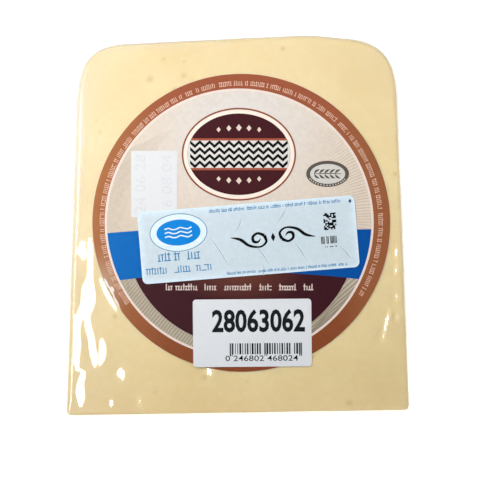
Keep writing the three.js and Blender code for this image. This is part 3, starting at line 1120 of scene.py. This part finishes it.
# %% Lines of small print
def small_line(length, tall, seed, radius=0.0, start=0.0, breaks=(9, 14), low_share=0.7, stroke_share=0.17):
    """A line like small print: short and tall upright strokes on a line, some joined above or below."""
    pitch, stroke, low = tall * 0.38, tall * stroke_share, tall * low_share
    count = int(length / pitch)
    rows = [(0, (low, tall), (stroke, stroke), 0.08), (0, (stroke, stroke), (pitch, pitch), 0.55)]
    rows.append((low - stroke, (stroke, stroke), (pitch, pitch), 0.5))
    shapes = []
    for number, (rise, heights, widths, gaps) in enumerate(rows):
        bend = radius + rise if radius else 0.0
        wider = pitch * bend / radius if radius else pitch
        row = mark_row(count, wider, heights, widths, gaps, seed + number, bend, start, breaks)
        shapes.append(row if radius else moved(row, 0, rise))
    return shapes


def print_line(put, layer, colour, *sizes, **style):
    """The sheets of a line of small print. A function puts each in its place."""
    return [(put(row), layer + i / 2, colour) for i, row in enumerate(small_line(*sizes, **style))]


# %% Pen strokes and hatching
def pen_stroke(path, steps=7):
    """A stroke along a smooth path of x, y and width."""
    fine = np.array(smooth_path(path, steps))
    along = np.gradient(fine[:, :2], axis=0)
    along /= np.maximum(np.linalg.norm(along, axis=1), 1e-6)[:, None]
    side = np.stack([-along[:, 1], along[:, 0]], 1) * fine[:, 2:3] / 2
    points = [tuple(p) for p in fine[:, :2] + side] + [tuple(p) for p in fine[:, :2] - side]
    count = len(fine)
    return points, [(i, i + count, i + count + 1, i + 1) for i in range(count - 1)]


def hatching(count, places, headings, longest, width, wave):
    """Strokes from places on the field's edge, with headings, both in degrees."""
    turns = [math.radians(degrees) for degrees in (*places, *headings)]
    sizes = (FIELD_EDGE, *turns, longest, width, *wave)
    return flat_from_tree(HATCH_TREE, {"Count": count, **dict(zip(HATCH_SIZES, sizes))})


# %% [markdown]
# Plain numerals come from Blender's own typeface. The text is made a mesh first, and then scaled to the
# width and height it has on the label, as a thermal printer stretches its characters.

# %% Numerals as flat shapes
def numerals(text, width, height, weight=0.0):
    """Plain figures as flat faces, centred, with that width and height."""
    curve = bpy.data.curves.new("figures", "FONT")
    curve.body = text
    curve.offset = weight
    curve.resolution_u = 3
    writing = bpy.data.objects.new("figures", curve)
    bpy.context.scene.collection.objects.link(writing)
    bpy.context.view_layer.update()
    mesh = bpy.data.meshes.new_from_object(writing.evaluated_get(bpy.context.evaluated_depsgraph_get()))
    bpy.data.objects.remove(writing)
    points, faces = flat_mesh(mesh)
    flat = np.array(points)
    low, high = flat.min(0), flat.max(0)
    flat = (flat - (low + high) / 2) / (high - low) * np.array((width, height))
    return [tuple(p) for p in flat], faces


# %% [markdown]
# ## The round label: grounds
#
# The label is printed in four grounds: a terracotta ring, a cream field, a blue band across the middle,
# and a dark maroon disc whose lower part shows below the band. The cream field is painted whitest in the
# upper middle, as a pool of painted light. The cream disc was printed a little off the die's centre, so
# the ring is wider on the right.

# %% Grounds of the round label
FIELD_CENTRE = (0.4, 63.5)
FIELD_RADIUS = 45.1
MAROON_CENTRE = (1.0, 61.3)
MAROON_RADIUS = 39.1
BAND_LOW = 47.0
BAND_HIGH = 61.4
FIELD_EDGE = 44.4  # the printed fields end here, and leave a cream line inside the ring

TERRACOTTA = linear("#995A3A")
TERRACOTTA_DEEP = linear("#874729")
# Painted light on the ring: a paler sheen down the left, and a highlight at the lower left.
TERRACOTTA_SHEEN = linear("#A86A41")
TERRACOTTA_GLINT = linear("#BA9478")
TERRACOTTA_RED = linear("#99543A")
TERRACOTTA_BROWN = linear("#965B3A")
CREAM = linear("#DCCCBA")
CREAM_WHITE = linear("#D9D4D0")
STONE = linear("#B8AC99")
HAIRLINE = linear("#E7D7CD")
BLUE_LEFT = linear("#0067B8")
BLUE_RIGHT = linear("#004E9D")
MAROON = linear("#3C171F")
MAROON_GLOW = linear("#6A3B2E")
INK_BLACK = linear("#0D0F12")


# %% Colours of the grounds
def ring_colour(across, up):
    """Deeper towards the tip and redder at the top, with a paler painted sheen down the left and a painted
    highlight beside the creases.
    """
    fresh = blend(TERRACOTTA_DEEP, TERRACOTTA, min(max((up - 20) / 60, 0), 1))
    fresh = blend(fresh, TERRACOTTA_RED, min(max((up - 90) / 15, 0), 1))
    fresh = blend(fresh, TERRACOTTA_BROWN, min(max((across - 34) / 10, 0), 1))
    # Painted sheen down the left, then a painted highlight beside the creases.
    sheened = blend(fresh, TERRACOTTA_SHEEN, math.exp(-(((across + 52) / 20) ** 2)))
    return blend(sheened, TERRACOTTA_GLINT, math.exp(-(((across + 44.5) / 5) ** 2) - ((up - 43) / 8) ** 2))


def field_colour(across, up):
    """Cream to the sides, whitest in the upper middle as painted light, and stone grey in the lower crescent.
    """
    x, y = across - FIELD_CENTRE[0], up - FIELD_CENTRE[1]
    # Painted light: the field is whitened in the upper middle.
    white = math.exp(-((x / 26) ** 2) - ((y - 30) / 24) ** 2)
    low = min(max((-y - 8) / 16, 0), 1)
    return blend(blend(CREAM, CREAM_WHITE, white), STONE, low)


def blue_colour(across, up):
    return blend(BLUE_LEFT, BLUE_RIGHT, min(max((across + 44) / 70, 0), 1))


def maroon_colour(across, up):
    """A glow below the band that sinks into dark maroon."""
    away = math.hypot((across - 1) / 22, (up - 46.5) / 11)
    return blend(MAROON_GLOW, MAROON, min(away, 1))


# %% Shapes of the grounds
def circle_sides(centre, radius):
    half = lambda y: math.sqrt(max(radius**2 - (y - centre[1]) ** 2, 0))
    return (lambda y: centre[0] - half(y)), (lambda y: centre[0] + half(y))


def band_edges(across):
    """The blue band's lower and upper edges. The lower sags to both sides, the upper to the left alone."""
    low = BAND_LOW - 0.00158 * (across - 2) ** 2
    return low, BAND_HIGH - 0.0018 * max(0, -across - 17) ** 2


def blue_band(columns=72, rows=12):
    """A grid from the band's lower edge to its upper edge, cut off along the field's round edge."""
    left, right = circle_sides(FIELD_CENTRE, FIELD_EDGE)
    points = []
    for row in range(rows + 1):
        for column in range(columns + 1):
            share = column / columns
            across = FIELD_CENTRE[0] + FIELD_EDGE * (2 * share - 1)
            for _ in range(4):
                low, high = band_edges(across)
                up = low + (high - low) * row / rows
                across = left(up) + (right(up) - left(up)) * share
            points.append((across, up))
    step = columns + 1
    corners = [(row * step + column) for row in range(rows) for column in range(columns)]
    return points, [(a, a + 1, a + 1 + step, a + step) for a in corners]


def grounds():
    turns = [math.radians(2 + 68 * i / 28) for i in range(29)]
    maroon_rows = [MAROON_CENTRE[1] - MAROON_RADIUS * math.cos(t) for t in turns]
    maroon = between_lines(maroon_rows, *circle_sides(MAROON_CENTRE, MAROON_RADIUS))
    return [
        (between_circles(FIELD_CENTRE, FIELD_RADIUS, LABEL_CENTRE, LABEL_RADIUS - 0.04), 1, ring_colour),
        (between_circles(FIELD_CENTRE, 0, FIELD_CENTRE, FIELD_RADIUS), 1, field_colour),
        (between_circles(FIELD_CENTRE, FIELD_EDGE, FIELD_CENTRE, FIELD_RADIUS + 0.08), 3, HAIRLINE),
        (maroon, 3, maroon_colour),
        (blue_band(), 4, blue_colour),
    ]


# %% [markdown]
# ## The round label: hatching and small print
#
# Fine wavy hatching fills the field's sides and the crescent under the band. Round the ring runs a line of
# small print, which here is rows of upright strokes, some joined, that form no letters. A second line
# of it crosses the maroon disc. At the lower left, pale strokes on the label's edge are a painted highlight.

# %% Hatching and the painted highlight on the edge
STROKE_BROWN = linear("#5E5340")
RING_PRINT = linear("#DDB59E")
LINE_PRINT = linear("#D3BFB9")
# A painted highlight colour, for the strokes on the label's edge.
GLINT_PALE = linear("#F3E8E0")


def hatch_colour(strength):
    """A stroke is a little darker than the field under it, and fades out towards the middle and the top."""

    def colour(across, up):
        away = math.hypot(across - FIELD_CENTRE[0], up - FIELD_CENTRE[1])
        share = strength * min(max((away - 32) / 10, 0), 1) * min(max((97 - up) / 14, 0), 1)
        return blend(field_colour(across, up), STROKE_BROWN, share)

    return colour


def field_hatching():
    families = [  # how strong, how many, where they start and head, the longest, the width and the wave
        (0.31, 56, (146, 212), (25, 66), 17, 0.3, (0.05, 1.6)),
        (0.24, 44, (-5, 52), (174, 232), 17, 0.34, (0.1, 2.2)),
        (0.4, 46, (196, 256), (46, 56), 9, 0.42, (0.06, 1.5)),
        (0.5, 17, (262, 309.5), (47, 41), 40, 0.5, (0.16, 2.4)),
    ]
    return [(moved(hatching(*sizes), *FIELD_CENTRE), 2, hatch_colour(dark)) for dark, *sizes in families]


def painted_edge_glint():
    """Pale strokes on the label's edge beside the creases: a painted highlight of the lamp."""
    widths = (0.1, 0.5, 0.7, 0.8, 0.7, 0.45, 0.1)
    strokes = [(202.0, 206.2, 49.6), (205.2, 210.4, 49.3), (209.6, 214.6, 49.6), (206.0, 208.6, 48.6)]
    sheets = []
    for first, last, radius in strokes:
        turns = [math.radians(first + (last - first) * i / 6) for i in range(7)]
        path = [(radius * math.cos(t), radius * math.sin(t), width) for t, width in zip(turns, widths)]
        sheets.append((moved(pen_stroke(path, 2), *LABEL_CENTRE), 5, GLINT_PALE))
    return sheets


# %% Small print of the round label
def small_print():
    style = {"radius": 46.1, "start": 216, "low_share": 0.88, "stroke_share": 0.14}
    sheets = print_line(lambda row: moved(row, *LABEL_CENTRE), 3, RING_PRINT, 200, 1.6, 21, **style)
    words = [(-24.9, 12.3), (-11.9, 5.6), (-5.1, 10.8), (6.7, 5.5), (13.3, 7.5), (21.5, 4.8)]
    for number, (start, length) in enumerate(words):
        put = lambda row: moved(row, start, 40.9)
        sheets += print_line(put, 4, LINE_PRINT, length, 2.2, 40 + 5 * number, breaks=NO_BREAKS)
    return sheets


# %% [markdown]
# ## The round label: badge and stamp
#
# In the upper middle stands a plain oval badge. Its band is the braided herringbone of the grass belts
# that such wheels are pressed in, in black on white, between terracotta rules on maroon. To its right
# is a small oval stamp: a broad dark ring round an ear of grain. Both are stacks of flat shapes, each a
# layer higher than the one it covers, because sheets at one height would flicker through each other.

# %% Ovals and chevrons
BADGE_CENTRE = (0.3, 86.6)
BADGE_HALF = (19.2, 15.6)
BAND_HALF = (16.4, 4.6)
STAMP_CENTRE = (30.1, 80.0)
STAMP_HALF = (7.2, 4.4)


def oval(across, up, half_width, half_height, steps=72):
    turns = [2 * math.pi * i / steps for i in range(steps)]
    return [(across + half_width * math.cos(t), up + half_height * math.sin(t)) for t in turns]


def oval_disc(half_width, half_height, cell=CELL):
    points, faces = between_circles((0, 0), 0, (0, 0), 1, cell=cell / max(half_width, half_height))
    return [(x * half_width, y * half_height) for x, y in points], faces


def chevrons(width, rows, period, rise, stroke, pitch):
    """Rows of V strokes across a width, centred on nought."""
    shapes = []
    count = int(width / period)
    for row in range(rows):
        high = (row - (rows - 1) / 2) * pitch + rise / 2
        low = high - rise
        for i in range(count):
            x = (i - count / 2) * period
            bends = [(x, high), (x + period / 2, low), (x + period, high)]
            lower = [(a, b - stroke / 2) for a, b in bends]
            upper = [(a, b + stroke / 2) for a, b in reversed(bends)]
            shapes.append((lower + upper, [(0, 1, 4, 5), (1, 2, 3, 4)]))
    return shapes


# %% Badge
def badge():
    """The badge's sheets, by its own middle."""
    wide, tall = BADGE_HALF
    sheets = [
        (oval_disc(wide - inset, tall - inset), layer, linear(colour))
        for inset, layer, colour in ((0, 3, "#8C4630"), (0.55, 4, "#F0E4D6"), (1.9, 5, "#42191F"))
    ]
    edge = lambda up: (wide - 1.95) * math.sqrt(1 - (up / (tall - 1.95)) ** 2)
    bands = ((BAND_HALF[1] + 0.75, 6, linear("#A1523B")), (BAND_HALF[1], 7, CREAM_WHITE))
    for half_height, layer, colour in bands:
        rows = [half_height * (i / 3 - 1) for i in range(7)]
        sheets.append((between_lines(rows, lambda up: -edge(up), edge), layer, colour))
    sheets += [(shape, 8, INK_BLACK) for shape in chevrons(2 * BAND_HALF[0], 4, 3.28, 1.5, 1.15, 2.25)]
    for side in (-1, 1):
        for i in range(-2, 3):
            reach = 0.95 - 0.12 * abs(i)
            diamond = oval(3.4 * i, side * (8.9 - 0.16 * i * i), reach, reach * 1.25, 4)
            sheets.append((outline_shape(diamond), 6, CREAM))
    return sheets


# %% Stamp
def stamp():
    """The stamp's sheets, by its own middle."""
    wide, tall = STAMP_HALF
    dark, pale = linear("#5A534B"), linear("#CFCCC6")
    sheets = [
        (oval_disc(wide, tall, cell=0.8), 3, dark),
        (oval_disc(wide - 1.3, tall - 1.05, cell=0.8), 4, pale),
        (pen_stroke([(-4.6, 0, 0.2), (0, 0.15, 0.3), (4.6, 0, 0.2)]), 5, dark),
    ]
    points, faces = pen_stroke([(0, 0, 0.15), (0.7, 0.85, 0.75), (1.75, 1.35, 0.15)], 3)
    for side in (-1, 1):
        grain = [(x, side * y) for x, y in points], faces
        sheets += [(moved(grain, 1.75 * i - 4.5, 0.15 * side), 5, dark) for i in range(5)]
    for degrees in range(205, 340, 9):
        t = math.radians(degrees)
        dot = oval((wide - 0.65) * math.cos(t), (tall - 0.55) * math.sin(t), 0.22, 0.26, 6)
        sheets.append((outline_shape(dot), 4, pale))
    return sheets


# %% The round label laid down
def put_down(sheets, across, up):
    return [(moved(shape, across, up), layer, colour) for shape, layer, colour in sheets]


disc = between_circles(LABEL_CENTRE, 0, LABEL_CENTRE, LABEL_RADIUS)
marks = small_print() + put_down(badge(), *BADGE_CENTRE) + put_down(stamp(), *STAMP_CENTRE) + painted_edge_glint()
paper = [(disc, 0, CREAM_WHITE)]
lay_sheets("round_label_paper", ROUND_TOP, paper, COATED_PAPER, "round_label")
lay_sheets("round_label_grounds", ROUND_TOP, grounds() + field_hatching(), PRESS_INK)
lay_sheets("round_label_print", ROUND_TOP, marks, PRESS_INK)

# %% [markdown]
# ## The seal strip
#
# A pale blue seal runs across the middle, a little askew. It carries a blue badge, two lines of blue
# print, an ornament drawn with a broad pen, a block of dots, tiny bars, and small print along both
# edges. Fine slits are cut through it, so that it tears if it is peeled. A picture could carry all of
# this, but drawn shapes stay sharp from any distance. Everything is drawn by the strip's own middle,
# unturned, and one function then turns and moves it all. The slits alone are drawn on the cut face.

# %% Laying a rectangular label
Label = namedtuple("Label", "across up width height corner turn")


def on_label(label, shape):
    """Places a shape that was drawn by a label's own middle."""
    return moved(shape, label.across, label.up, label.turn)


def lay_label(name, node, label, top, paper, sheets, ink, others=()):
    """Lays a rectangular label and its print. The others are sheets that are in their place already."""
    shape = on_label(label, sticker(label.width, label.height, label.corner))
    lay_sheets(f"{name}_paper", top, [(shape, 0, ICE_EDGE)], paper, node)
    sheets = [(on_label(label, shape), layer, colour) for shape, layer, colour in sheets]
    lay_sheets(f"{name}_print", top, sheets + list(others), ink)


# %% Seal strip
STRIP = Label(3.5, 57.9, 73.1, 24.2, 1.8, 4.65)
STRIP_BADGE = (-23.2, 4.3)  # places on the strip, by its own middle
ORNAMENT = (8.3, 0.2)
ICE_EDGE = linear("#DCEDF9")
ICE = linear("#CAD8E0")
SIGNAL_BLUE = linear("#0A82D6")
PRINT_BLUE = linear("#3A84B4")


def scroll(side):
    """One half of the ornament: a curl that opens into a long thin tail."""
    curl = [(4.2, 0.2, 0.25), (5.2, 1.2, 0.7), (6.6, 0.9, 1.0), (6.7, -0.7, 0.9), (5.0, -1.7, 0.8)]
    turn = (2.9, -0.8, 1.1)
    tail = [(2.4, 1.4, 0.8), (4.6, 2.9, 0.6), (8.2, 2.2, 0.9), (11.0, 0.0, 1.0), (14.2, -0.9, 0.2)]
    parts = (curl + [turn], [turn] + tail)
    return [pen_stroke([(side * x, side * y, width) for x, y, width in part]) for part in parts]


def ice_colour(across, up):
    """Pale blue that turns brighter within a few millimetres of the strip's edge."""
    turn = math.radians(STRIP.turn)
    x, y = across - STRIP.across, up - STRIP.up
    x, y = x * math.cos(turn) + y * math.sin(turn), y * math.cos(turn) - x * math.sin(turn)
    inside = min(STRIP.width / 2 - abs(x), STRIP.height / 2 - abs(y))
    return blend(ICE, ICE_EDGE, math.exp(-max(inside, 0) / 1.1))


# %% Print on the strip
def strip_sheets():
    """The strip's print, by its own middle."""
    sheets = [(sticker(STRIP.width - 0.1, STRIP.height - 0.1, STRIP.corner, cell=0.6), 1, ice_colour)]
    ovals = ((9.7, 6.4, 3, linear("#4E7F9E")), (9.45, 6.15, 4, ICE_EDGE), (7.4, 4.35, 5, SIGNAL_BLUE))
    for half_width, half_height, layer, colour in ovals:
        sheets.append((outline_shape(oval(*STRIP_BADGE, half_width, half_height)), layer, colour))
    for i in (-1, 0, 1):
        wave = pen_stroke([(k * 1.3 - 4.6, 1.35 * i + 0.32 * math.sin(k * 1.9), 0.42) for k in range(8)])
        sheets.append((moved(wave, *STRIP_BADGE), 6, ICE_EDGE))
    words = [(-31.5, -5.0, 8.9, 2.9), (-21.6, -5.0, 6.2, 2.9)]
    words += [(-35.7, -9.1, 8.9, 2.4), (-26.1, -9.1, 7.0, 2.4), (-18.8, -9.1, 7.0, 2.4)]
    style = {"breaks": NO_BREAKS, "low_share": 0.85, "stroke_share": 0.13}
    for number, (x, y, length, tall) in enumerate(words):
        put = lambda row: moved(row, x, y)
        sheets += print_line(put, 3, PRINT_BLUE, length, tall, 70 + 5 * number, **style)
    for length, tall, x, y, seed in ((45.6, 1.2, -12.6, 10.0, 132), (41.4, 1.0, -8.4, -11.2, 142)):
        sheets += print_line(lambda row: moved(row, x, y), 3, PRINT_BLUE, length, tall, seed)
    black = [moved(stroke, *ORNAMENT) for side in (-1, 1) for stroke in scroll(side)]
    black.append(outline_shape(oval(*ORNAMENT, 0.75, 1.5, 4)))
    for row in range(12):
        dots = mark_row(10, 0.47, (0.49, 0.49), (0.47, 0.49), 0.4, 100 + row)
        black.append(moved(dots, 25.4, 1.1 + 0.47 * row))
    black.append(moved(mark_row(13, 0.45, (2.5, 2.5), (0.16, 0.34), 0.1, 130), 24.0, -3.5))
    black.append(moved(mark_row(8, 0.6, (0.35, 0.35), (0.2, 0.5), 0.3, 131), 25.0, -4.7))
    sheets += [(shape, 3, INK_BLACK) for shape in black]
    sheets.append((outline_shape(oval(35.0, 10.2, 0.45, 0.6, 10)), 3, linear("#24506E")))
    return sheets


# %% Slits in the strip
SLITS = [  # face places of both ends
    (1.3, 65.5, -0.7, 60.5), (-9.4, 58.8, -3.0, 49.1), (6.0, 56.1, 10.4, 49.7), (19.2, 56.8, 22.8, 51.4),
    (34.3, 55.8, 38.0, 51.4), (16.5, 69.2, 13.1, 63.2), (8.6, 49.6, 8.4, 45.9),
]


def slit_sheets():
    """Cuts through the strip, drawn as a dark line of painted shade with a painted highlight on the lip
    beside it.
    """
    sheets = []
    for x0, y0, x1, y1 in SLITS:
        middle = ((x0 + x1) / 2 + 0.25, (y0 + y1) / 2, 0.24)
        cut = pen_stroke([(x0, y0, 0.05), middle, (x1, y1, 0.05)])
        # Painted shade in the cut, then a painted highlight beside it.
        sheets.append((cut, 3, linear("#8D9AA3")))
        sheets.append((moved(cut, 0.22, 0.08), 3 - 1 / 3, linear("#DDEBF4")))
    return sheets


strip, slits = strip_sheets(), slit_sheets()
lay_label("seal_strip", "seal_strip", STRIP, STRIP_TOP, SEAL_PAPER, strip, PRESS_INK, slits)

# %% [markdown]
# ## The bar sticker
#
# A white thermal sticker laps over the round label's lower edge. It has a row of large plain numerals,
# a short block of upright bars and a line of small numerals under it. Bars like these could be drawn one
# by one, but the node tree's seeded row of uneven widths is quicker, and means nothing.

# %% Bar sticker
BAR_STICKER = Label(4.8, 26.6, 39.8, 22.7, 1.1, 0.5)
GUARD_BARS = [(0.0, 0.5), (0.6, 0.3), (11.6, 0.3), (12.2, 0.3), (23.2, 0.3), (23.8, 0.45)]  # place and width
THERMAL_BLACK = linear("#10161A")
GUARD_GREY = linear("#4A4F55")


def bar_sheets():
    """The sticker's print, by its own middle."""
    black = [
        moved(numerals("28063062", 31.2, 7.8, 0.028), 2.1, 4.1),
        moved(mark_row(29, 0.83, (3.7, 3.7), (0.22, 0.62), 0.08, 7), -7.4, -7.15),
        moved(numerals("0 246802 468024", 24.4, 1.9, 0.004), 3.1, -8.5),
    ]
    sheets = [(shape, 1, THERMAL_BLACK) for shape in black]
    for x, width in GUARD_BARS:
        left, right, low, high = x - 7.4 - width / 2, x - 7.4 + width / 2, -7.8, -3.4
        bar = outline_shape([(left, low), (right, low), (right, high), (left, high)])
        sheets.append((bar, 1 + 1 / 3, GUARD_GREY))
    return sheets


bars = bar_sheets()
lay_label("bar_sticker", "bar_label", BAR_STICKER, SMALL_TOP, THERMAL_PAPER, bars, THERMAL_INK)

# %% [markdown]
# ## The price label
#
# A small price-gun label has two columns of numerals that have almost faded away, turned on their side.
# Faint ink could be a weak mix of black and paper. Here it is simply a colour close to the paper's.

# %% Price label
PRICE_LABEL = Label(-28.1, 76.6, 15.6, 22.3, 0.4, 0.0)
FADED = linear("#D6D6DD")

figures = [("24 06 28", -4.7), ("16 08 04", 4.2)]
rows = [(moved(numerals(text, 19.5, 3.6), x, 0, 90), 1, FADED) for text, x in figures]
lay_label("price_label", "price_label", PRICE_LABEL, SMALL_TOP, PRICE_PAPER, rows, THERMAL_INK)

# %% [markdown]
# ## Floor and light
#
# The photo is a cut-out on pure white, lit by soft lamps. The floor is a plain white sweep that glows
# faintly, so that it stays white with only a breath of shadow. A large soft lamp stands beyond the rim,
# so the wedge is brightest at the top, and a tall one on the left draws the white flashes in the film.

# %% Floor
FLOOR_HALF = 8.0


def white_floor():
    material, tree, _ = new_material("white_sweep_paper")
    matt = add(tree, "ShaderNodeBsdfDiffuse", {"Color": (0.42, 0.42, 0.42, 1)})
    glow = add(tree, "ShaderNodeEmission", {"Color": (1, 1, 1, 1), "Strength": 1.15})
    add(tree, "ShaderNodeOutputMaterial", [add(tree, "ShaderNodeAddShader", [matt, glow])])
    return material


corners = [(x * FLOOR_HALF, y * FLOOR_HALF, 0) for x, y in ((-1, -1), (1, -1), (1, 1), (-1, 1))]
floor_mesh = bpy.data.meshes.new("floor")
floor_mesh.from_pydata(corners, [], [(0, 1, 2, 3)])
floor_mesh.materials.append(white_floor())
floor = bpy.data.objects.new("floor", floor_mesh)
bpy.context.scene.collection.objects.link(floor)
floor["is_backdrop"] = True
print("floor, m across:", 2 * FLOOR_HALF)

# %% Lamps and world
def soft_lamp(name, place, target, size, brightness, lights="diffuse"):
    """A rectangular lamp at a face place, turned to a face target. Brightness is its radiance.

    Its size is across and up the face. It lights either dull things, or only what mirrors it."""
    lamp = bpy.data.lights.new(name, "AREA")
    lamp.shape = "RECTANGLE"
    lamp.size, lamp.size_y = (s * MM for s in size)
    lamp.energy = brightness * math.pi * lamp.size * lamp.size_y
    light = bpy.data.objects.new(name, lamp)
    bpy.context.scene.collection.objects.link(light)
    stand, aim = Vector(on_face(place)), Vector(on_face(target))
    back = (stand - aim).normalized()
    side = UP.cross(back).normalized()
    turned = Matrix((side, back.cross(side), back)).transposed().to_4x4()
    light.matrix_world = Matrix.Translation(stand) @ turned
    light.visible_camera = False
    light.visible_diffuse = lights == "diffuse"
    light.visible_glossy = lights == "gloss"
    return light


WORLD = 0.27
FACE_MIDDLE = (0, 70, 0)
soft_lamp("left_lamp", (-121, 120, 158), FACE_MIDDLE, size=(83, 89), brightness=10.6)
soft_lamp("rim_lamp", (72, 151, 196), FACE_MIDDLE, size=(148, 130), brightness=4.0)
soft_lamp("flash_lamp", FLASH_LAMP, (-45, 12, 0), FLASH_SIZE, brightness=28.0, lights="gloss")

world = bpy.data.worlds.new("studio")
bpy.context.scene.world = world
world.use_nodes = True
background = world.node_tree.nodes["Background"]
background.inputs["Color"].default_value = (1.0, 1.0, 1.0, 1)
background.inputs["Strength"].default_value = WORLD
print("lamps:", [light.name for light in bpy.data.lights])

# %% Sizes
visual_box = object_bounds()
boxes = {"cad": [list(map(float, p)) for p in cad_box], "visual": [list(map(float, p)) for p in visual_box]}
print("CAD box:", boxes["cad"], "visual box:", boxes["visual"])
